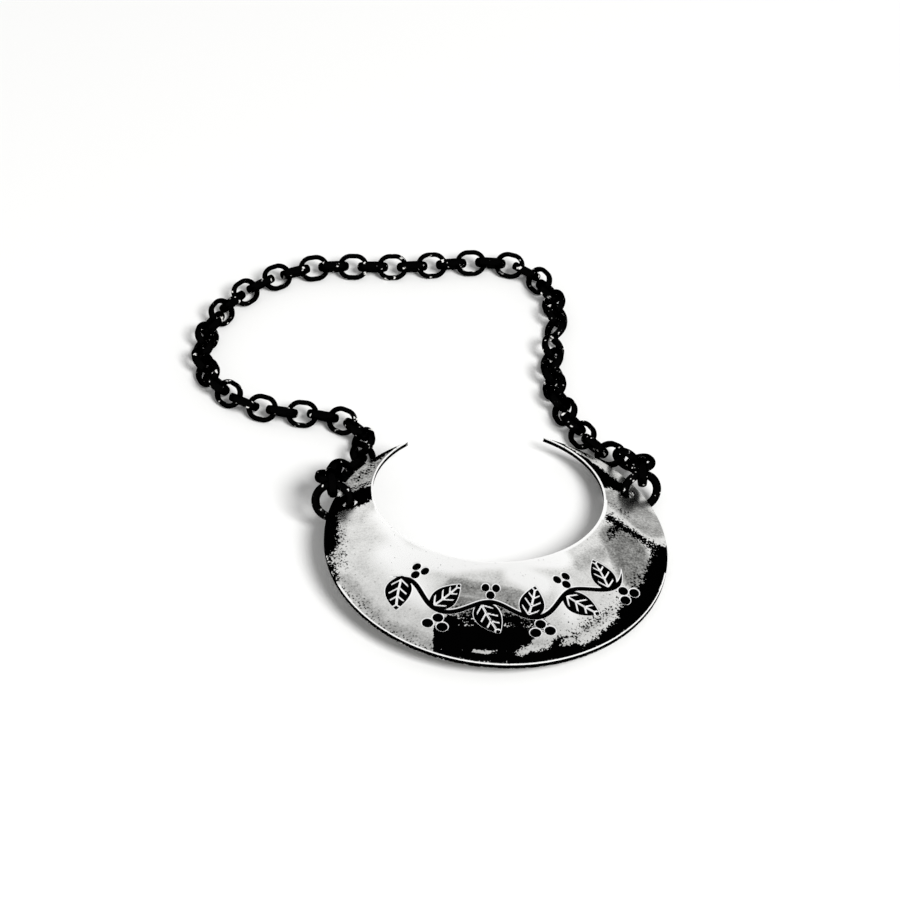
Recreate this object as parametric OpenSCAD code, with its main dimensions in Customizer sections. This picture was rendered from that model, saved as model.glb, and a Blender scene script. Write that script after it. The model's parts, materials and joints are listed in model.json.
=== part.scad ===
// Crescent bottle label on a belcher chain. Millimetres, +Z up, lying on z = 0.
// Origin: on the table under the centre of the bay that goes round the bottle neck.

/* [Plate] */
// Width of the crescent across its outer curve
plate_w = 52; // [48:1:56]
// Radius of the bay that goes round the bottle neck
bay_r = 17.7; // [16:0.1:18.5]
// Distance from the centre of the outer curve to the centre of the bay
bay_shift = 9.6; // [9:0.1:10.6]
// Thickness of the silver sheet
plate_t = 0.8; // [0.6:0.05:0.9]
// Radius of the shallow bowl the sheet is raised to
bow_r = 86; // [78:1:110]
// Lean of the plate towards its belly, in degrees
plate_tilt = 1.5; // [1:0.1:2.5]
// Lean of the plate down to its right side, in degrees
plate_roll = 3.7; // [3.2:0.1:4.2]

/* [Rings] */
// Diameter of the two holes in the plate
hole_d = 2.6; // [2.5:0.05:2.8]
// Distance from the rim in to the centre of a hole
hole_inset = 2.8; // [2.6:0.1:3]
// Angle of a hole round the outer curve, up from its widest point
hole_angle = 23.5; // [20:0.5:26]
// Thickness of the round ring wire
ring_wire = 1.3; // [1.1:0.05:1.35]
// Clear diameter inside a ring
ring_id = 4; // [3.9:0.1:4.3]
// Heading in which a ring crosses the rim, from straight across
ring_heading = 4; // [0:1:15]
// How upright a ring stands on the sheet, in degrees
ring_lean = 72; // [68:1:80]
// Rise of the ring's centre seen from its hole, in degrees
ring_rise = 22; // [18:1:24]
// Place on the ring where the chain hangs, in degrees from the heading
hang_angle = 100; // [90:1:110]

/* [Chain] */
// Clear width inside a link
link_bore = 2.85; // [2.8:0.01:2.9]
// Width of the D-shaped wire a link is bent from
band_w = 1.9; // [1.8:0.02:1.94]
// Thickness of that wire
band_t = 0.8; // [0.74:0.01:0.82]
// Radius of the dome on the inside of that wire
band_dome = 0.72; // [0.68:0.01:0.73]
// Play between two linked pieces when they lie straight
link_play = 0.34; // [0.33:0.01:0.4]
// Gap at the one place where the loop is open, on its right side
open_gap = 0.35; // [0.3:0.01:0.5]
// Roll of each link to one side or the other
link_roll = 45; // [40:1:50]
// Space between the plate's rim and the middle of the chain beside it
rim_space = 2.4; // [2.3:0.1:3]

/* [Hidden] */
link_count = 57;
open_after = 44;
end_twist_links = 6;
curve_steps = 8;
$fn = 96;
plate_r = plate_w / 2;
hole_r = plate_r - hole_inset;
ring_r = (ring_id + ring_wire) / 2;
link_r = link_bore / 2;
band_mid = link_r + band_t - band_w / 2;
rest_z = band_mid * sin(link_roll) + band_w / 2;

function link_name(k) = str("link_", k < 10 ? "0" : "", k);

// Small vector helpers
function unit(v) = v / norm(v);
function about_x(p, a) = [p.x, p.y * cos(a) - p.z * sin(a), p.y * sin(a) + p.z * cos(a)];
function about_y(p, a) = [p.x * cos(a) + p.z * sin(a), p.y, -p.x * sin(a) + p.z * cos(a)];

// The lean of the plate
function lie_dir(v) = about_x(about_y(v, plate_roll), plate_tilt);

// Frame of a ring on the plate; side is 1 for right and -1 for left
function hole_turn(side) = side > 0 ? hole_angle : 180 - hole_angle;
hole_slope = asin(hole_r / (bow_r - plate_t / 2));
function sheet_up(side) = [sin(hole_slope) * cos(hole_turn(side)),
                           sin(hole_slope) * sin(hole_turn(side)), cos(hole_slope)];
function hole_mid(side) = (bow_r - plate_t / 2) * sheet_up(side) - [0, 0, bow_r];
function heading(side) = [side * cos(ring_heading), sin(ring_heading), 0];
function across(side) =
    unit(heading(side) - (heading(side) * sheet_up(side)) * sheet_up(side));
function rise(side) = cos(ring_lean) * side * cross(sheet_up(side), across(side))
    + sin(ring_lean) * sheet_up(side);
function ring_point(side, a) = cos(a) * across(side) + sin(a) * rise(side);
function ring_mid(side) = hole_mid(side) + ring_r * ring_point(side, ring_rise);
function ring_up(side) = cross(across(side), rise(side));

// Height of the plate: its low side rests on the rim or on the ring under it
rim_z = sqrt(pow(bow_r - plate_t, 2) - plate_r * plate_r) - bow_r;
rim_lift = plate_r * norm([sin(plate_roll) * cos(plate_tilt), sin(plate_tilt)])
    - rim_z * cos(plate_roll) * cos(plate_tilt);
low_ring = lie_dir(ring_up(1));
ring_lift = ring_r * norm([low_ring.x, low_ring.y]) + ring_wire / 2 - lie_dir(ring_mid(1)).z;
plate_lift = max(rim_lift, ring_lift);
function lie(p) = lie_dir(p) + [0, -bay_shift, plate_lift];
function hang_point(side) = lie(ring_mid(side) + ring_r * ring_point(side, hang_angle));

// A place on the table beside the rim, by angle round the outer curve
function by_rim(gap, a, z) =
    [(plate_r + gap) * cos(a), (plate_r + gap) * sin(a) - bay_shift, z];

// Lay of the chain, from the left ring round the back to the right ring
route = concat(
    [hang_point(-1), by_rim(rim_space + 0.3, 147, 6.3), by_rim(rim_space + 0.9, 141, 4.7)],
    [by_rim(rim_space + 0.9, 134, rest_z + 0.9)],
    [for (p = [[-18.1, 15.1], [-17.6, 19.3], [-18.9, 23], [-22.3, 25.6], [-27, 27.1],
               [-32.2, 28.9], [-36.6, 32.1], [-40, 37], [-41.4, 43.4], [-39.6, 51.5],
               [-35.3, 58.2], [-30.3, 62.4], [-25.2, 64.7], [-19.4, 65.7], [-12, 64.8],
               [-5, 64], [2, 63.9], [8, 63.5], [12.3, 62], [15.4, 58.8], [17.1, 54.4],
               [17.7, 49], [16.8, 43.2], [15.3, 37], [14.5, 30.5], [14.8, 24.4], [15.9, 19.4]])
        [p.x, p.y, rest_z + (p.y < 20 ? 0.15 : 0)]],
    [by_rim(rim_space + 1.7, 54.7, rest_z + 0.25), by_rim(rim_space + 0.3, 46.8, rest_z + 0.4)],
    [by_rim(rim_space + 0.3, 38.5, 3), by_rim(rim_space + 0.2, 31.5, 4.3), hang_point(1)]);

// Smooth curve through the route and its length along the way
last = len(route) - 1;
function pass(a, b, c, d, t) = b + 0.5 * t * (c - a + t * (2 * a - 5 * b + 4 * c - d
    + t * (3 * (b - c) + d - a)));
curve = concat([for (i = [0:last - 1], j = [0:curve_steps - 1])
    pass(route[max(i - 1, 0)], route[i], route[i + 1], route[min(i + 2, last)],
         j / curve_steps)], [route[last]]);
run = [for (i = 0, s = 0; i < len(curve);
    s = s + (i + 1 < len(curve) ? norm(curve[i + 1] - curve[i]) : 0), i = i + 1) s];
along = [for (a = [0:2]) [for (i = [0:len(curve) - 1]) [run[i], curve[i][a]]]];
function on_curve(s) = [for (a = [0:2]) lookup(s, along[a])];

// Step from link to link, and the straight run that gives each link its play
bend_step = link_bore - link_play;
hang_step = link_r - ring_wire / 2 - link_play / 2;
whole_run = run[len(run) - 1];
step = (whole_run - 2 * (hang_step - bend_step + link_r + band_t) - open_gap) / link_count;
link_run = step - bend_step;
open_step = 2 * (link_r + band_t) + link_run + open_gap;
first = hang_step + link_run / 2;

// Roll, place and direction of link k; the end links stand up to take the rings
function roll(k) = (k % 2 == 1 ? 90 : 0)
    - link_roll * min(1, (k - 1) / end_twist_links, (link_count - k) / end_twist_links);
function lowest(k) = band_mid * abs(sin(roll(k))) + band_w / 2;
function link_run_at(k) = first + (k - 1) * step + (k > open_after ? open_step - step : 0);
function link_at(k) = let (p = on_curve(link_run_at(k))) [p.x, p.y, max(p.z, lowest(k))];
function link_way(k) = unit(on_curve(link_run_at(k) + step) - on_curve(link_run_at(k) - step));
function link_side(k) = unit(cross([0, 0, 1], link_way(k)));
function link_up(k) = cos(roll(k)) * cross(link_way(k), link_side(k))
    + sin(roll(k)) * link_side(k);

// Puts a piece drawn with x along the way and z along its normal into place
module stand(at, x, z) {
    y = cross(z, x);
    multmatrix([[x.x, y.x, z.x, at.x],
                [x.y, y.y, z.y, at.y],
                [x.z, y.z, z.z, at.z],
                [0, 0, 0, 1]])
        children();
}

// The plate: a crescent cut from a shallow bowl, with a hole near each horn
module plate() {
    color("silver")
    translate([0, -bay_shift, plate_lift])
    rotate([plate_tilt, 0, 0])
    rotate([0, plate_roll, 0])
    difference() {
        intersection() {
            translate([0, 0, -bow_r])
                difference() {
                    sphere(r = bow_r, $fn = 360);
                    sphere(r = bow_r - plate_t, $fn = 360);
                }
            translate([0, 0, -bow_r / 4])
                linear_extrude(bow_r / 2)
                difference() {
                    circle(r = plate_r, $fn = 240);
                    translate([0, bay_shift])
                        circle(r = bay_r, $fn = 200);
                }
        }
        for (side = [-1, 1])
            translate([0, 0, -bow_r])
                rotate([0, hole_slope, hole_turn(side)])
                translate([0, 0, bow_r - 2 * plate_t])
                cylinder(d = hole_d, h = 3 * plate_t, $fn = 48);
    }
}

// A jump ring of round wire through a hole of the plate
module jump_ring(side) {
    color("gray")
    stand(lie(ring_mid(side)), lie_dir(across(side)), lie_dir(ring_up(side)))
        rotate_extrude($fn = 72)
        translate([ring_r, 0])
        circle(d = ring_wire, $fn = 24);
}

// Section of the link wire: domed outside and inside
module band() {
    intersection() {
        translate([band_mid, 0])
            circle(d = band_w, $fn = 40);
        translate([link_r + band_dome, 0])
            circle(r = band_dome, $fn = 60);
    }
}

// A belcher link: two half turns of the wire joined by short straight runs
module link_shape() {
    for (turn = [0, 180])
        rotate([0, 0, turn]) {
            translate([link_run / 2, 0, 0])
                rotate([0, 0, -90])
                rotate_extrude(angle = 180, $fn = 64)
                band();
            translate([-link_run / 2, 0, 0])
                rotate([90, 0, 90])
                linear_extrude(link_run)
                band();
        }
}

// Link k of the chain, counted from the left ring
module link(k) {
    color("dimgray")
    stand(link_at(k), link_way(k), link_up(k))
        link_shape();
}

plate();
jump_ring(-1);  // left_ring
jump_ring(1);  // right_ring
for (k = [1:link_count])
    link(k);
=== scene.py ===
import json
import math

import bmesh
import bpy
import numpy as np
from mathutils import Matrix, Vector


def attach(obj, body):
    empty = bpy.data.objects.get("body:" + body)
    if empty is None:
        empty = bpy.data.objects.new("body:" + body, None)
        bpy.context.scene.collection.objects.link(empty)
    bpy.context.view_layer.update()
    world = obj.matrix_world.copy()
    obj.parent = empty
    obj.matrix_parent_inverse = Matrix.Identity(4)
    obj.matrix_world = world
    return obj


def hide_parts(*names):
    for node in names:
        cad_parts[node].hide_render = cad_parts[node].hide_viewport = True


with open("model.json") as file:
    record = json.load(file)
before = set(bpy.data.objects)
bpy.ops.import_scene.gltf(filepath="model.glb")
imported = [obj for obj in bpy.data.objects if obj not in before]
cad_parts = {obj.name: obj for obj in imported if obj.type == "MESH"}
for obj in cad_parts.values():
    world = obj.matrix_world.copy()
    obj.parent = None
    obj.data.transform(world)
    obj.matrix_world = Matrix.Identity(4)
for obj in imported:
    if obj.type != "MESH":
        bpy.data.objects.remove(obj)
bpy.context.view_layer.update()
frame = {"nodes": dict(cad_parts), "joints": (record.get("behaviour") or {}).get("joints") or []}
mm = 0.001
print("frame loaded:", len(frame["nodes"]), "nodes")


def linear(hexColour):
    parts = [int(hexColour[i:i + 2], 16) / 255 for i in (1, 3, 5)]
    return (*[c / 12.92 if c <= 0.04045 else ((c + 0.055) / 1.055) ** 2.4 for c in parts], 1.0)


def addNode(tree, kind, settings=None, links=None):
    node = tree.nodes.new(kind)
    for key, value in (settings or {}).items():
        if isinstance(key, str) and hasattr(node, key):
            setattr(node, key, value)
        else:
            node.inputs[key].default_value = value
    for key, source in (links or {}).items():
        tree.links.new(source, node.inputs[key])
    return node


def newMaterial(name):
    material = bpy.data.materials.new(name)
    material.use_nodes = True
    tree = material.node_tree
    return material, tree, tree.nodes["Principled BSDF"]


def putInScene(name, data):
    piece = bpy.data.objects.new(name, data)
    bpy.context.scene.collection.objects.link(piece)
    return piece


def finalMesh(piece):
    bpy.context.view_layer.update()
    return bpy.data.meshes.new_from_object(piece.evaluated_get(bpy.context.evaluated_depsgraph_get()))


# Camera: the photograph's view, a long lens from the belly side, 40 degrees up
cameraView = {
    "aim": (-4.207, 15.33, 1.69),   # mm
    "turn": 7.05,                   # degrees towards the left
    "height": 39.96,                # degrees above the table
    "distance": 480.0,              # mm
    "lens": 121.9, "sensor": 36.0,  # mm
    "nearest": 10.0,                # mm
}


def makeCamera(v):
    turn, height = math.radians(v["turn"]), math.radians(v["height"])
    level = math.cos(height)
    back = Vector((-math.sin(turn) * level, -math.cos(turn) * level, math.sin(height)))
    data = bpy.data.cameras.new("tableCamera")
    data.lens = v["lens"]
    data.sensor_width = v["sensor"]
    data.clip_start = v["nearest"] * mm
    camera = putInScene("tableCamera", data)
    camera.location = (Vector(v["aim"]) + v["distance"] * back) * mm
    camera.rotation_mode = "QUATERNION"
    camera.rotation_quaternion = (-back).to_track_quat("-Z", "Y")
    bpy.context.scene.camera = camera


makeCamera(cameraView)
print("camera set")


# Steps that both silvers are made of
noiseSpan = (0.3, 0.7)   # nearly all of the noise lies between these


def noiseOf(tree, place, size, **settings):
    given = {"Scale": 1 / (size * mm), "Detail": 2.0, **settings}
    return addNode(tree, "ShaderNodeTexNoise", given, {"Vector": place}).outputs["Fac"]


def spread(tree, noise, low, high, clamp=True):
    least, most = noiseSpan
    given = {"From Min": least, "From Max": most, "To Min": low, "To Max": high, "clamp": clamp}
    return addNode(tree, "ShaderNodeMapRange", given, {"Value": noise}).outputs["Result"]


def pastEdge(tree, value, start, width):
    given = {"From Min": start, "From Max": start + width}
    return addNode(tree, "ShaderNodeMapRange", given, {"Value": value}).outputs["Result"]


def between(tree, share, low, high):
    given = {"To Min": low, "To Max": high}
    return addNode(tree, "ShaderNodeMapRange", given, {"Value": share}).outputs["Result"]


def combine(tree, operation, first, second):
    return addNode(tree, "ShaderNodeMath", {"operation": operation}, {0: first, 1: second}).outputs[0]


def coat(tree, under, share, colour):
    given = {"data_type": "RGBA", 7: linear(colour)}
    return addNode(tree, "ShaderNodeMix", given, {0: share, 6: under}).outputs[2]


def finishMetal(tree, shader, colour, roughness, height, strength, depth):
    shader.inputs["Metallic"].default_value = 1.0
    bump = addNode(tree, "ShaderNodeBump", {"Strength": strength, "Distance": depth * mm}, {"Height": height})
    tree.links.new(colour, shader.inputs["Base Color"])
    tree.links.new(colour, shader.inputs["Specular Tint"])   # no grey sheen on the black
    tree.links.new(roughness, shader.inputs["Roughness"])
    tree.links.new(bump.outputs["Normal"], shader.inputs["Normal"])


# Sterling silver, raised over a stake and polished by hand, then left to tarnish: bright metal under a grey
# that is partly a tarnish veil and partly painted reflection; black where the sulphide is thick, with painted
# shade and painted reflection in the black too; cuts are black with painted highlights on their lips
silverFinish = {
    "veil": [(0.0, "#fefefd"), (0.2, "#e6e6e4"), (0.45, "#b4b4b2"), (0.7, "#828280"), (1.0, "#3c3c3b")],
    "black": "#030303",
    # painted highlight along the lips of the cuts
    "cutLip": "#ffffff",
    "cloud": 1.8, "cloudDetail": 4.0,        # mm, soft drifts in the tarnish
    "cloudOnBlack": 0.3,                     # how far a drift thins or thickens the black
    "cloudOnVeil": 0.16,                     # and the grey
    "speck": 0.34, "speckRough": 0.6,        # mm, grains of tarnish, drawn coarse enough to show
    "speckOnBlack": 0.6,                     # what a grain adds to the black or takes from it
    "speckOnVeil": 0.24,                     # how far it thins or thickens the grey
    "blackFrom": 0.6, "blackEdge": 0.12,     # level of the tarnish, painted shade and painted reflection mark that turns black, and over how much
    "lipFrom": -0.03, "lipEdge": 0.03,       # mm in from a cut's edge, where the painted highlight on its lip starts
    "cutFrom": 0.075, "cutEdge": 0.04,       # mm in from it, where the black starts
    "roughBright": 0.24, "roughBlack": 0.6,  # of the clean metal and of the tarnish
    "hairline": 0.12,                        # mm between polishing lines
    "hairlineDepth": 0.02,                   # mm
    "hairlineStretch": 0.08,                 # scale along a line, which draws it out
    "hairlineTurn": 0.6,                     # radians
    "hairlineStrength": 0.12,
}


def makeTarnishedSilver(f):
    material, tree, shader = newMaterial("sterlingSilverTarnished")
    place = addNode(tree, "ShaderNodeTexCoord").outputs["Object"]
    # veil: a grey that is partly tarnish and partly painted reflection, set point by point on the plate
    veil = addNode(tree, "ShaderNodeAttribute", {"attribute_name": "veil"}).outputs["Fac"]
    # tarnish: black that is partly tarnish and partly painted reflection and painted shadow, with painted
    # shade on the edge walls
    tarnish = addNode(tree, "ShaderNodeAttribute", {"attribute_name": "tarnish"}).outputs["Fac"]
    cut = addNode(tree, "ShaderNodeAttribute", {"attribute_name": "cutRoom"}).outputs["Fac"]
    clouds = noiseOf(tree, place, f["cloud"], Detail=f["cloudDetail"])
    specks = noiseOf(tree, place, f["speck"], Roughness=f["speckRough"])
    drift = spread(tree, clouds, 1 - f["cloudOnVeil"], 1 + f["cloudOnVeil"])
    mottle = spread(tree, specks, 1 - f["speckOnVeil"], 1 + f["speckOnVeil"])
    grey = combine(tree, "MULTIPLY", combine(tree, "MULTIPLY", veil, drift), mottle)
    tone = addNode(tree, "ShaderNodeValToRGB", None, {"Fac": grey})
    stops = tone.color_ramp.elements
    for position, colour in f["veil"][1:-1]:
        stops.new(position).color = linear(colour)
    stops[0].color = linear(f["veil"][0][1])
    stops[-1].color = linear(f["veil"][-1][1])
    thicken = spread(tree, clouds, 1 - f["cloudOnBlack"], 1 + f["cloudOnBlack"])
    grain = spread(tree, specks, -f["speckOnBlack"], f["speckOnBlack"], clamp=False)
    thick = combine(tree, "ADD", combine(tree, "MULTIPLY", tarnish, thicken), grain)
    black = pastEdge(tree, thick, f["blackFrom"], f["blackEdge"])
    # the black: tarnish, painted shade and painted reflection together
    darkened = coat(tree, tone.outputs["Color"], black, f["black"])
    # painted highlight on the lips of the cuts, then the black inside them
    lipped = coat(tree, darkened, pastEdge(tree, cut, f["lipFrom"], f["lipEdge"]), f["cutLip"])
    filled = coat(tree, lipped, pastEdge(tree, cut, f["cutFrom"], f["cutEdge"]), f["black"])
    rough = between(tree, black, f["roughBright"], f["roughBlack"])
    drawn = {"Scale": (1.0, f["hairlineStretch"], 1.0), "Rotation": (0.0, 0.0, f["hairlineTurn"])}
    lines = addNode(tree, "ShaderNodeMapping", drawn, {"Vector": place}).outputs["Vector"]
    polish = noiseOf(tree, lines, f["hairline"])
    finishMetal(tree, shader, filled, rough, polish, f["hairlineStrength"], f["hairlineDepth"])
    return material


# Sterling silver wire, drawn, bent and blackened with sulphur: nearly black, rubbed bright in small spots
# that also serve as painted highlights
wireFinish = {
    "black": "#050505",
    "worn": "#f6f5f2",
    "spot": 1.0,                           # mm across a worn spot
    "wornFrom": 0.665, "wornEdge": 0.03,   # share of the noise above which the black has gone, a rubbed spot that also serves as a painted highlight
    "roughLow": 0.12, "roughHigh": 0.4,
    "line": 0.15, "lineDepth": 0.02,       # mm, marks of drawing
    "lineStrength": 0.1,
}


def makeBlackenedSilver(f):
    material, tree, shader = newMaterial("sterlingSilverBlackened")
    place = addNode(tree, "ShaderNodeTexCoord").outputs["Object"]
    # rubbed spots, partly real wear and partly painted highlights
    worn = pastEdge(tree, noiseOf(tree, place, f["spot"]), f["wornFrom"], f["wornEdge"])
    shades = {"data_type": "RGBA", 6: linear(f["black"]), 7: linear(f["worn"])}
    colour = addNode(tree, "ShaderNodeMix", shades, {0: worn}).outputs[2]
    lines = noiseOf(tree, place, f["line"])
    rough = between(tree, lines, f["roughLow"], f["roughHigh"])
    finishMetal(tree, shader, colour, rough, lines, f["lineStrength"], f["lineDepth"])
    return material


tarnishedSilver = makeTarnishedSilver(silverFinish)
blackenedSilver = makeBlackenedSilver(wireFinish)
print("materials made")


# The vine that runs along the crescent, cut into its face
vine = {
    "midRadius": 22.0, "midShift": 4.9,    # mm, the curve down the middle of the crescent
    "reach": 20.4, "tip": 3.0,             # mm of vine each way from the middle, and of its thinning ends
    "wave": 13.6, "sway": 1.5,             # mm, length and height of the stem's wave
    "stem": 0.46,                          # mm, half the stem's width
    "leaves": 6,
    "leafLength": 6.2, "leafWidth": 2.0,   # mm, leaf and half its width
    "leafSlant": 0.5, "leafRoot": 1.6,     # radians from straight out, and mm before the crest of the wave
    "leafWidest": 0.8, "leafFull": 0.85,   # powers that shape its outline
    "vein": 0.06,                          # mm, half the rib left standing in a leaf
    "rib": (0.1, 0.84),                    # where the rib runs, as shares of the leaf's length
    "twigGap": 1.5, "twigLean": 0.9,       # mm between side veins, and their slope
    "twigFrom": 0.12, "twigWide": 0.7,     # where they start, and their share of the leaf's width
    "berry": 0.82,                         # mm, radius
    "berries": [(0.0, 1.2), (-0.95, 2.5), (0.95, 2.5)],   # mm along the stem and out from it
    "slope": 0.2, "depth": 0.22,           # mm, width of a cut's sloping wall and its depth
    "farthest": 0.5,                       # mm from a cut's edge, the most that counts
}


# How far each point lies inside the edge of a cut, in mm
def vineRoom(x, y, v):
    u = v["midRadius"] * np.arctan2(x, -(y - v["midShift"]))
    across = np.hypot(x, y - v["midShift"]) - v["midRadius"]
    turn = 2 * np.pi / v["wave"]
    lean = 1 / np.sqrt(1 + (v["sway"] * turn * np.cos(turn * u)) ** 2)
    taper = np.clip((v["reach"] - np.abs(u)) / v["tip"], -1, 1)
    room = v["stem"] * taper - np.abs(across - v["sway"] * np.sin(turn * u)) * lean
    sine, cosine = math.sin(v["leafSlant"]), math.cos(v["leafSlant"])
    for k in range(-v["leaves"] // 2, v["leaves"] // 2):
        side = 1 if k % 2 == 0 else -1   # which way the stem bulges here
        du = u - v["wave"] * (2 * k + 1) / 4
        inward = v["sway"] - across * side
        ahead = ((du + v["leafRoot"]) * sine + inward * cosine) / v["leafLength"]
        beside = np.abs((du + v["leafRoot"]) * cosine - inward * sine)
        width = v["leafWidth"] * np.sin(np.pi * np.clip(ahead, 0, 1) ** v["leafWidest"]) ** v["leafFull"]
        leaf = np.where((ahead > 0) & (ahead < 1), width - beside, -np.inf)
        rib = np.where((ahead > v["rib"][0]) & (ahead < v["rib"][1]), beside - v["vein"], np.inf)
        twig = np.mod(ahead * v["leafLength"] - v["twigLean"] * beside, v["twigGap"]) - v["twigGap"] / 2
        hasTwig = (ahead > v["twigFrom"]) & (beside < v["twigWide"] * width)
        twig = np.where(hasTwig, np.abs(twig) - v["vein"], np.inf)
        room = np.maximum(room, np.minimum(leaf, np.minimum(rib, twig)))
        for along, out in v["berries"]:
            room = np.maximum(room, v["berry"] - np.hypot(du - along, -inward - out))
    return np.clip(room, -v["farthest"], v["farthest"])


# The plate: a crescent raised to a shallow bowl, with softened edges and the vine cut into it
plateSize = {
    "rim": 26.0, "bay": 17.7, "bayShift": 9.6,   # mm, the two curves and how far apart their centres are
    "thick": 0.8, "bow": 86.0,                   # mm, sheet and radius of the bowl
    "tilt": 1.5, "roll": 3.7, "lift": 7.75441,   # how it lies: degrees, degrees, mm
    "soft": 0.14, "softShare": 0.3,              # mm, rounding of the edges, and its most as a share of width
    "hole": 2.6, "holeInset": 2.8,               # mm, across a hole, and from the rim in to its middle
    "holeAngle": 23.5,                           # degrees round the rim, up from its widest point
}
plateMesh = {
    "hornShare": 0.23, "hornEase": 1.3,   # share of the curve in a horn, and how its columns crowd to the tip
    "hornColumns": 90, "bodyColumns": 420,
    "sideShare": 0.18,                    # share of the width beside an edge
    "sideRows": 12, "faceRows": 88,
    "roundRows": 6,                       # round an edge
    "wallRows": (1.6, 4.2),               # edge roundings down the wall of an edge
    "rimRow": 1.3,                        # edge roundings in from the rim
    "backRows": 9,
    "drillSides": 48, "drillReach": 1.5,  # mm each way
    "weld": 0.004, "sliver": 0.002,       # mm, points nearer than this are one
}


# The plate's section as points: share of the width, edge roundings in and down, whether it is the back
def sectionOf(m):
    edge, far = m["sideShare"], 1 - m["sideShare"]
    start = np.linspace(0, edge, m["sideRows"])
    end = np.linspace(far, 1, m["sideRows"])
    top = np.concatenate([start[1:-1], np.linspace(edge, far, m["faceRows"]), end[1:-1]])
    arc = np.radians(np.linspace(0, 90, m["roundRows"]))
    inset = 1 / (m["backRows"] + 1)
    section = [(0, 0, down, False) for down in m["wallRows"][::-1]]
    section += [(0, 1 - math.cos(a), 1 - math.sin(a), False) for a in arc]
    section += [(s, 1 - 2 * s, 0, False) for s in top]
    section += [(1, -m["rimRow"], 0, False)]
    section += [(1, math.cos(a) - 1, 1 - math.sin(a), False) for a in arc[::-1]]
    section += [(1, 0, down, False) for down in m["wallRows"]]
    section += [(1, 0, 0, True)]
    section += [(s, 0, 0, True) for s in np.linspace(1 - inset, inset, m["backRows"])]
    return section + [(0, 0, 0, True)]


def makePlate(p, v, m):
    tipY = (p["rim"] ** 2 - p["bay"] ** 2 + p["bayShift"] ** 2) / (2 * p["bayShift"])
    tipX = math.sqrt(p["rim"] ** 2 - tipY ** 2)
    rimStart = math.atan2(tipY, -tipX)
    bayStart = math.atan2(tipY - p["bayShift"], -tipX)
    horn = m["hornShare"] * np.linspace(0, 1, m["hornColumns"]) ** m["hornEase"]
    body = np.linspace(m["hornShare"], 1 - m["hornShare"], m["bodyColumns"])
    share = np.concatenate([horn, body[1:-1], 1 - horn[::-1]])
    rimAngle = rimStart + share * (2 * np.pi - 2 * (rimStart - np.pi / 2))
    bayAngle = bayStart + share * (2 * np.pi - 2 * (bayStart - np.pi / 2))
    inner = np.stack([p["bay"] * np.cos(bayAngle), p["bay"] * np.sin(bayAngle) + p["bayShift"]], 1)
    outer = np.stack([p["rim"] * np.cos(rimAngle), p["rim"] * np.sin(rimAngle)], 1)
    wide = np.linalg.norm(outer - inner, axis=1)
    outward = (outer - inner) / np.maximum(wide, 1e-9)[:, None]
    soft = np.minimum(p["soft"], p["softShare"] * wide)
    section = sectionOf(m)
    points = []
    for s, roundIn, roundDown, isBack in section:
        xy = inner + (outer - inner) * s + outward * (soft * roundIn)[:, None]
        reach2 = (xy ** 2).sum(1)
        face = np.sqrt(p["bow"] ** 2 - reach2) - p["bow"]
        back = np.sqrt((p["bow"] - p["thick"]) ** 2 - reach2) - p["bow"]
        points.append(np.column_stack([xy, back if isBack else face - soft * roundDown]))
    points = np.array(points)   # section point, column, xyz
    isTop = np.array([roundDown == 0 and not isBack for s, roundIn, roundDown, isBack in section])
    room = vineRoom(points[isTop, :, 0], points[isTop, :, 1], v)
    points[isTop, :, 2] -= v["depth"] * np.clip(room / v["slope"], 0, 1)
    rows, columns = points.shape[:2]
    index = np.arange(rows * columns).reshape(rows, columns)
    nextRow = np.roll(index, -1, axis=0)
    faces = np.stack([index[:, :-1], index[:, 1:], nextRow[:, 1:], nextRow[:, :-1]], -1).reshape(-1, 4)
    mesh = bpy.data.meshes.new("crescentPlate")
    mesh.from_pydata((points.reshape(-1, 3) * mm).tolist(), [], faces.tolist())
    mesh.validate()
    return putInScene("crescentPlate", mesh)


def placeOfPlate(p):
    lean = Matrix.Rotation(math.radians(p["tilt"]), 4, "X") @ Matrix.Rotation(math.radians(p["roll"]), 4, "Y")
    return Matrix.Translation(Vector((0, -p["bayShift"], p["lift"])) * mm) @ lean


def drillPlate(plate, p, m):
    sides = m["drillSides"]
    turns = np.linspace(0, 2 * math.pi, sides, endpoint=False)
    ring = [(math.cos(a) * p["hole"] / 2 * mm, math.sin(a) * p["hole"] / 2 * mm) for a in turns]
    ends = [(x, y, z * mm) for z in (-m["drillReach"], m["drillReach"]) for x, y in ring]
    around = [(i, (i + 1) % sides, sides + (i + 1) % sides, sides + i) for i in range(sides)]
    caps = [tuple(range(sides - 1, -1, -1)), tuple(range(sides, 2 * sides))]
    sheetMiddle = p["bow"] - p["thick"] / 2
    slope = math.asin((p["rim"] - p["holeInset"]) / sheetMiddle)
    for turn in (math.radians(180 - p["holeAngle"]), math.radians(p["holeAngle"])):
        up = Vector((math.sin(slope) * math.cos(turn), math.sin(slope) * math.sin(turn), math.cos(slope)))
        middle = sheetMiddle * up - Vector((0, 0, p["bow"]))
        mesh = bpy.data.meshes.new("drill")
        mesh.from_pydata(ends, [], around + caps)
        mesh.transform(Matrix.Translation(middle * mm) @ up.to_track_quat("Z", "Y").to_matrix().to_4x4())
        drill = putInScene("drill", mesh)
        bore = plate.modifiers.new("bore", "BOOLEAN")
        bore.object = drill
        bore.operation = "DIFFERENCE"
        bore.solver = "EXACT"
        bored = finalMesh(plate)
        plate.modifiers.clear()
        plate.data = bored
        bpy.data.objects.remove(drill)


def cleanMesh(mesh, m):
    work = bmesh.new()
    work.from_mesh(mesh)
    bmesh.ops.remove_doubles(work, verts=work.verts, dist=m["weld"] * mm)
    bmesh.ops.dissolve_degenerate(work, edges=work.edges, dist=m["sliver"] * mm)
    bmesh.ops.recalc_face_normals(work, faces=work.faces)
    work.to_mesh(mesh)
    work.free()
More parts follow.
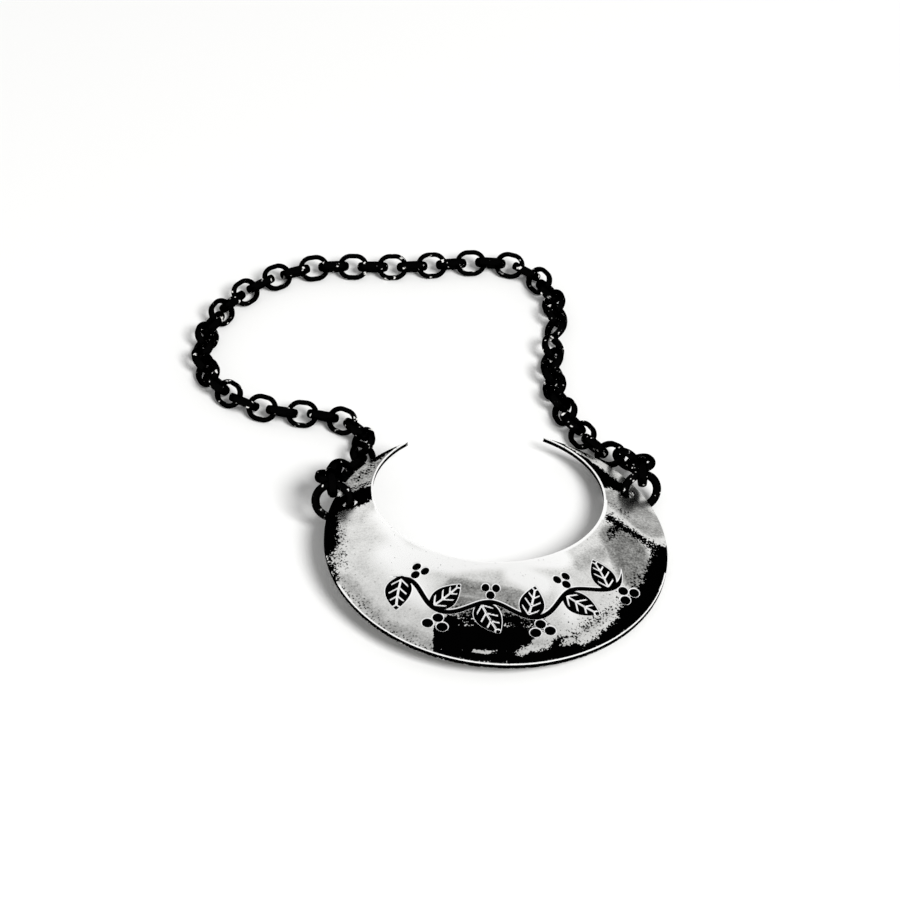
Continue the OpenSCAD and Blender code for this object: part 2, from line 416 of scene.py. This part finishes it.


# Marks on the plate by place, partly tarnish and partly painted reflection, painted shadow and painted
# highlight: path in mm from the rim's centre, radius and softness in mm, strength
# grey patches: partly tarnish, partly painted reflection
veilAndReflectionPatches = {
    "leftHorn": ([(-20.5, 12.5), (-14.5, 21.5)], 2.2, 0.6, 0.55),
    "leftRim": ([(-23, 5), (-24.5, -3.5)], 1.4, 2.0, 0.42),
    "lowerLeft": ([(-24, -7), (-19, -17), (-12.5, -21.5)], 1.6, 2.4, 0.52),
    "middleTop": ([(-8, -12), (1, -15)], 1.7, 0.9, 0.6),
    "middle": ([(-8.8, -15.5), (2, -17.5)], 2.0, 1.0, 0.66),
    "rightBody": ([(18.5, -2.5), (20, -9)], 3.5, 1.0, 0.7),
    "rightUpper": ([(20, 7), (24, 2)], 3.0, 0.8, 0.52),
    "rightOfMiddle": ([(11.5, -8.5), (16, -5)], 1.8, 1.6, 0.46),
    "lowerRight": ([(2, -22.5), (7, -23), (15.5, -16.5)], 1.0, 2.0, 0.44),
    "rightHorn": ([(11, 24), (18.5, 11.5)], 1.0, 1.0, 0.8),
}
# patches cleared of grey: clean metal and painted bright reflection
clearAndReflectionPatches = {
    "bayLeft": ([(-17.5, 4.5), (-14, -5.5)], 1.2, 1.4, 1.0),
    "bayFoot": ([(-14, -5.5), (-8, -7.6), (8, -7.5)], 2.1, 0.8, 1.0),
    "bayDip": ([(1.5, -10.5), (4.5, -12.5)], 2.0, 0.9, 1.0),
    "leftOfMiddle": ([(-17, -4), (-13.5, -11.5)], 2.2, 2.0, 1.0),
    "besideBlack": ([(-14.5, -11.5), (-12.8, -14.5)], 1.0, 1.4, 0.9),
    "rightOfBlack": ([(8, -12.5), (8.5, -18)], 1.3, 1.4, 0.9),
}
# black patches: partly tarnish, partly painted dark reflection and painted shadow
tarnishShadowAndReflectionPatches = {
    # leftHole: painted shadow and painted reflection of the ring
    "leftHole": ([(-24.5, 9.2), (-21, 9.4), (-18, 10.5)], 1.7, 0.9, 2.0),
    "hornFoot": ([(-21.5, 12.5), (-18, 13)], 0.7, 1.3, 0.95),
    "hornSpecks": ([(-19.5, 15), (-17, 18)], 0.8, 1.3, 0.82),
    "leftTip": ([(-16.5, 19.5), (-13.4, 22.5)], 0.6, 0.6, 1.8),
    "leftEdge": ([(-24.8, 8), (-25.8, 0)], 1.6, 1.0, 1.8),
    "leftEdgeFoot": ([(-25.8, 0), (-25.2, -7)], 0.7, 1.2, 1.2),
    "leftSpecks": ([(-23.5, 6), (-24, -5)], 0.8, 1.8, 0.66),
    "lowerLeftSpecks": ([(-25, -7.5), (-19, -18), (-13, -22.3)], 0.4, 2.0, 0.76),
    # bottomBlack: painted reflection of a dark thing in front of the plate
    "bottomBlack": ([(-9.8, -21), (0.5, -22)], 2.0, 0.8, 2.0),
    "bottomStart": ([(-11.3, -19), (-11.7, -22)], 0.55, 0.3, 2.0),
    "bottomEdge": ([(-11.5, -23.2), (0.5, -25.2), (9, -23.7)], 0.9, 0.9, 1.8),
    "bottomRight": ([(1, -21), (4.5, -20.3)], 0.7, 1.2, 1.4),
    "bottomBlob": ([(4.8, -24), (6.3, -22)], 0.7, 0.9, 1.6),
    "bottomSpecks": ([(-9.5, -18.2), (3, -19)], 1.3, 1.3, 1.3),
    "middleSpecks": ([(-9.5, -16.5), (4, -17)], 0.8, 1.5, 0.82),
    "rightEdgeStart": ([(8, -24.4), (14, -21.4)], 0.6, 1.1, 1.8),
    "rightEdgeFoot": ([(13.5, -21.4), (17, -18.4)], 1.0, 1.3, 1.9),
    "rightEdge": ([(17.5, -17.6), (22.5, -11), (25.4, -4)], 1.7, 1.3, 2.0),
    "rightSpecks": ([(1.5, -23), (8, -21.5), (16.5, -15.5), (20.5, -9.5)], 0.9, 2.2, 0.72),
    "streak": ([(17.5, 2.2), (20.5, -0.5), (25.5, -4)], 0.7, 1.5, 1.55),
    "streakSpecks": ([(17, -2), (18.5, 0.5)], 0.6, 1.5, 1.05),
    "upperSpecks": ([(18.8, 5.2), (20.5, 3.8)], 0.5, 1.2, 0.9),
    # rightHole: painted shadow and painted reflection of the ring and link lying over the plate, standing in
    # for them
    "rightHole": ([(17.8, 13.2), (20.6, 10.6)], 1.3, 0.9, 2.0),
    "rightTip": ([(10.5, 24.5), (14.5, 20.5)], 0.8, 0.5, 1.8),
    "rightHorn": ([(14.5, 20.5), (17, 15), (18.2, 11.5)], 1.6, 0.7, 2.0),
}
# patches with less black: rubbed metal, and painted highlights
rubbedAndHighlightPatches = {
    "hornStreak": ([(14, 21.7), (18.5, 16)], 0.3, 0.45, 0.95),
    # bottomGlint and aboveStreak: painted highlights
    "bottomGlint": ([(-6.5, -23.4), (-4.4, -23.9)], 0.25, 0.2, 1.0),
    "bottomStreak": ([(0.6, -24), (3, -22.6), (6.3, -20.7)], 0.7, 0.8, 0.88),
    "aboveStreak": ([(21, 0.8), (25.5, -2.4)], 0.15, 0.45, 0.97),
}
faceVeilAndReflection = 0.26   # grey over the whole face, partly tarnish and partly painted reflection
# The plate's edges and back: painted highlights as bright lines along the edges, painted shade as black walls
# under them
edgeLightAndShade = {
    "rimLine": 0.16, "rimLineTop": -8.0,         # mm, painted highlight along the rim, and how far up it goes
    "bayLine": 0.22, "bayLineMore": 0.3,         # mm, painted highlight and painted reflection round the bay, and what the belly adds
    "bayLineTop": 12.0, "bayLineFade": 8.0,      # mm up the plate where it starts to widen, and over how much
    "rimBlackFrom": 0.1, "bayBlackFrom": 0.19,   # mm down the edge, where its painted shade starts
    "wallReach": 0.1, "wallTarnish": 1.8,        # mm in from the edge, and how dark the painted shade on the walls is
    "backFrom": 0.8,                             # share of the sheet's thickness
    "backVeil": 0.5, "backTarnish": 0.3,
}


def shareOf(x, y, patch):
    path, radius, soft, strength = patch
    away = np.full_like(x, np.inf)
    for (x0, y0), (x1, y1) in zip(path, path[1:]):
        dx, dy = x1 - x0, y1 - y0
        along = np.clip(((x - x0) * dx + (y - y0) * dy) / (dx * dx + dy * dy), 0, 1)
        away = np.minimum(away, np.hypot(x - x0 - along * dx, y - y0 - along * dy))
    share = np.clip((radius + soft - away) / (2 * soft), 0, 1)
    return strength * share * share * (3 - 2 * share)


def layerAt(x, y, darker, brighter, start=0.0):
    total = np.full_like(x, start)
    for patch in darker.values():
        total = np.maximum(total, shareOf(x, y, patch))
    for patch in brighter.values():
        total = total * (1 - shareOf(x, y, patch))
    return total


def markPlate(mesh, p, v, e):
    spots = np.zeros(len(mesh.vertices) * 3, np.float32)
    mesh.vertices.foreach_get("co", spots)
    x, y, z = spots.reshape(-1, 3).astype(float).T / mm
    below = np.sqrt(np.maximum(p["bow"] ** 2 - x * x - y * y, 0)) - p["bow"] - z   # mm under the top face
    fromBay = np.hypot(x, y - p["bayShift"]) - p["bay"]
    fromRim = p["rim"] - np.hypot(x, y)
    back = below > p["thick"] * e["backFrom"]
    # black walls under the edges: painted shade
    rimWall = (below > e["rimBlackFrom"]) & (fromRim < e["wallReach"])
    bayWall = (below > e["bayBlackFrom"]) & (fromBay < e["wallReach"])
    wall = ~back & (rimWall | bayWall)
    # bright lines along the bay and the rim: painted highlights and painted reflection
    bayLine = e["bayLine"] + e["bayLineMore"] * np.clip((e["bayLineTop"] - y) / e["bayLineFade"], 0, 1)
    highlightLine = (fromBay < bayLine) & (below < e["bayBlackFrom"])
    highlightLine |= (fromRim < e["rimLine"]) & (y < e["rimLineTop"])
    veil = np.where(highlightLine, 0, layerAt(x, y, veilAndReflectionPatches, clearAndReflectionPatches, faceVeilAndReflection))
    tarnish = np.where(highlightLine, 0, layerAt(x, y, tarnishShadowAndReflectionPatches, rubbedAndHighlightPatches))
    tarnish = np.where(wall, e["wallTarnish"], tarnish)
    marks = {
        "veil": np.where(back, e["backVeil"], veil),
        "tarnish": np.where(back, e["backTarnish"] * (1 + tarnish), tarnish),
        "cutRoom": np.where(back | wall, -v["farthest"], vineRoom(x, y, v)),
    }
    for name, values in marks.items():
        attribute = mesh.attributes.new(name, "FLOAT", "POINT")
        attribute.data.foreach_set("value", values.astype(np.float32))


def finishPlate(plate, p):
    mesh = plate.data
    mesh.materials.clear()
    mesh.materials.append(tarnishedSilver)
    mesh.transform(placeOfPlate(p))
    mesh.polygons.foreach_set("use_smooth", np.ones(len(mesh.polygons), bool))
    mesh.update()
    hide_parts("plate")
    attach(plate, "plate")


crescent = makePlate(plateSize, vine, plateMesh)
drillPlate(crescent, plateSize, plateMesh)
cleanMesh(crescent.data, plateMesh)
markPlate(crescent.data, plateSize, vine, edgeLightAndShade)
finishPlate(crescent, plateSize)
print("plate made:", len(crescent.data.polygons), "faces")


# The chain: links of D-shaped wire and the two jump rings of round wire, all from one node tree
# mm: clear width inside, straight run between the bends, width and thickness of the wire; dome is how far
# the wire narrows towards the inside of the loop
linkSize = {"bore": 2.85, "run": 0.82273, "wide": 1.36, "thick": 0.8, "dome": 0.55}
ringSize = {"bore": 4.0, "run": 0.0, "wide": 1.3, "thick": 1.3, "dome": 0.0}
wireMesh = {"steps": 56, "sides": 24}


def makeLoopTree(m):
    tree = bpy.data.node_groups.new("bentWireLoop", "GeometryNodeTree")
    kinds = {"Bore": "Float", "Run": "Float", "Wide": "Float", "Thick": "Float", "Dome": "Float",
             "Place": "Vector", "Turn": "Vector", "Silver": "Material"}
    sockets = {}
    for name, kind in kinds.items():
        socket = tree.interface.new_socket(name, in_out="INPUT", socket_type="NodeSocket" + kind)
        sockets[name] = socket.identifier
    tree.interface.new_socket("Geometry", in_out="OUTPUT", socket_type="NodeSocketGeometry")
    given = addNode(tree, "NodeGroupInput").outputs
    across = combine(tree, "ADD", given["Bore"], given["Thick"])
    radius = addNode(tree, "ShaderNodeMath", {"operation": "MULTIPLY", 1: 0.5}, {0: across})
    path = addNode(tree, "GeometryNodeCurvePrimitiveCircle", {"Resolution": m["steps"]},
                   {"Radius": radius.outputs[0]})
    spot = addNode(tree, "ShaderNodeSeparateXYZ", None,
                   {0: addNode(tree, "GeometryNodeInputPosition").outputs["Position"]})
    end = addNode(tree, "ShaderNodeMath", {"operation": "SIGN"}, {0: spot.outputs["X"]})
    shift = combine(tree, "MULTIPLY", end.outputs[0], given["Run"])
    half = addNode(tree, "ShaderNodeMath", {"operation": "MULTIPLY", 1: 0.5}, {0: shift})
    offset = addNode(tree, "ShaderNodeCombineXYZ", None, {"X": half.outputs[0]})
    loop = addNode(tree, "GeometryNodeSetPosition", None,
                   {"Geometry": path.outputs["Curve"], "Offset": offset.outputs[0]})
    circle = addNode(tree, "GeometryNodeCurvePrimitiveCircle", {"Resolution": m["sides"], "Radius": 0.5})
    inward = addNode(tree, "ShaderNodeMath", {"operation": "MINIMUM", 1: 0.0}, {0: spot.outputs["X"]})
    narrow = addNode(tree, "ShaderNodeMath", {"operation": "MULTIPLY_ADD", 2: 1.0},
                     {0: inward.outputs[0], 1: given["Dome"]})
    height = combine(tree, "MULTIPLY", spot.outputs["Y"], narrow.outputs[0])
    domed = addNode(tree, "ShaderNodeCombineXYZ", None, {"X": spot.outputs["X"], "Y": height})
    shaped = addNode(tree, "GeometryNodeSetPosition", None,
                     {"Geometry": circle.outputs["Curve"], "Position": domed.outputs[0]})
    stretch = addNode(tree, "ShaderNodeCombineXYZ", {"Z": 1.0}, {"X": given["Thick"], "Y": given["Wide"]})
    section = addNode(tree, "GeometryNodeTransform", None,
                      {"Geometry": shaped.outputs["Geometry"], "Scale": stretch.outputs[0]})
    wire = addNode(tree, "GeometryNodeCurveToMesh", None,
                   {"Curve": loop.outputs["Geometry"], "Profile Curve": section.outputs["Geometry"]})
    turned = addNode(tree, "GeometryNodeTransform", None,
                     {"Geometry": wire.outputs["Mesh"], "Translation": given["Place"],
                      "Rotation": given["Turn"]})
    smooth = addNode(tree, "GeometryNodeSetShadeSmooth", None, {"Geometry": turned.outputs["Geometry"]})
    real = addNode(tree, "GeometryNodeRealizeInstances", None, {"Geometry": smooth.outputs["Geometry"]})
    coated = addNode(tree, "GeometryNodeSetMaterial", None,
                     {"Geometry": real.outputs["Geometry"], "Material": given["Silver"]})
    addNode(tree, "NodeGroupOutput", None, {"Geometry": coated.outputs["Geometry"]})
    return tree, sockets


def middleOf(node):
    mesh = frame["nodes"][node].data
    mesh.calc_loop_triangles()
    corners = np.array([v.co for v in mesh.vertices])
    tri = corners[np.array([t.vertices for t in mesh.loop_triangles])]
    area = np.linalg.norm(np.cross(tri[:, 1] - tri[:, 0], tri[:, 2] - tri[:, 0]), axis=1)
    return Vector((tri.mean(1) * area[:, None]).sum(0) / area.sum())


def makeLoop(tree, sockets, node, size):
    joint = next(j for j in frame["joints"] if j["child"] == node)
    middle, normal = middleOf(node), Vector(joint["axis"]).normalized()
    along = middle - Vector(joint["pos_m"]) if size["run"] > 0 else normal.orthogonal()
    along = (along - along.dot(normal) * normal).normalized()
    turn = Matrix((along, normal.cross(along), normal)).transposed().to_euler()
    name = node.replace("_", "") + "Wire"
    piece = putInScene(name, bpy.data.meshes.new(name))
    bend = piece.modifiers.new("bend", "NODES")
    bend.node_group = tree
    for key in ("bore", "run", "wide", "thick"):
        bend[sockets[key.capitalize()]] = size[key] * mm
    bend[sockets["Dome"]] = size["dome"]
    bend[sockets["Place"]] = middle
    bend[sockets["Turn"]] = Vector(turn)
    bend[sockets["Silver"]] = blackenedSilver
    piece.data = finalMesh(piece)
    piece.modifiers.clear()
    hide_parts(node)
    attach(piece, node)


loopTree, loopSockets = makeLoopTree(wireMesh)
for node in sorted(frame["nodes"]):
    if node.endswith("ring"):
        makeLoop(loopTree, loopSockets, node, ringSize)
    if node.startswith("link"):
        makeLoop(loopTree, loopSockets, node, linkSize)
print("chain and rings made")


# Plain pale floor, one soft light from the front right, in a white room
studio = {
    "floor": "#f7f7f6", "floorHalf": 2.0,    # m
    "floorDrop": 0.02,                       # mm below the links
    "floorRough": 0.95, "floorShine": 0.1,
    "room": "#ffffff",
    "roomShine": (1.02, 0.74),               # what the room gives to reflections, at its sides and overhead
    "overheadFrom": 0.7,                     # how far up a reflection has to look for that, 1 is straight up
    "roomLight": 0.41,                       # what it gives to the floor
    "keyFrom": (760.0, -1400.0, 1560.0),     # mm
    "keyAim": (0.0, 15.0, 0.0),              # mm
    "keySize": 0.85, "keyPower": 54.0,       # m, W
}


# Matt white paper: hardly any shine, so only the soft shadows show on it
def makeFloor(s):
    mesh = bpy.data.meshes.new("paleFloor")
    half, drop = s["floorHalf"], -s["floorDrop"] * mm
    corners = [(-half, -half, drop), (half, -half, drop), (half, half, drop), (-half, half, drop)]
    mesh.from_pydata(corners, [], [(0, 1, 2, 3)])
    paper, _, shader = newMaterial("mattPaper")
    shader.inputs["Base Color"].default_value = linear(s["floor"])
    shader.inputs["Roughness"].default_value = s["floorRough"]
    shader.inputs["Specular IOR Level"].default_value = s["floorShine"]
    mesh.materials.append(paper)
    floor = putInScene("paleFloor", mesh)


def makeRoom(s):
    world = bpy.data.worlds.new("brightRoom")
    world.use_nodes = True
    tree = world.node_tree
    ray = addNode(tree, "ShaderNodeLightPath")
    view = addNode(tree, "ShaderNodeTexCoord").outputs["Generated"]
    way = addNode(tree, "ShaderNodeSeparateXYZ", None, {0: view})
    sides, overhead = s["roomShine"]
    fade = {"From Min": s["overheadFrom"], "From Max": 1.0, "To Min": sides, "To Max": overhead}
    above = addNode(tree, "ShaderNodeMapRange", fade, {"Value": way.outputs["Z"]})
    shine = addNode(tree, "ShaderNodeMapRange", {"To Min": s["roomLight"]},
                    {"Value": ray.outputs["Is Glossy Ray"], "To Max": above.outputs["Result"]})
    background = tree.nodes["Background"]
    background.inputs["Color"].default_value = linear(s["room"])
    tree.links.new(shine.outputs["Result"], background.inputs["Strength"])
    bpy.context.scene.world = world


def makeKey(s):
    data = bpy.data.lights.new("keyLight", "AREA")
    data.shape = "DISK"
    data.size = s["keySize"]
    data.energy = s["keyPower"]
    key = putInScene("keyLight", data)
    key.location = Vector(s["keyFrom"]) * mm
    key.rotation_mode = "QUATERNION"
    key.rotation_quaternion = (Vector(s["keyAim"]) * mm - key.location).to_track_quat("-Z", "Y")
    key.visible_glossy = False   # the room alone shows in the silver


makeFloor(studio)
makeRoom(studio)
makeKey(studio)
bpy.context.scene.view_settings.view_transform = "Standard"
print("studio made")
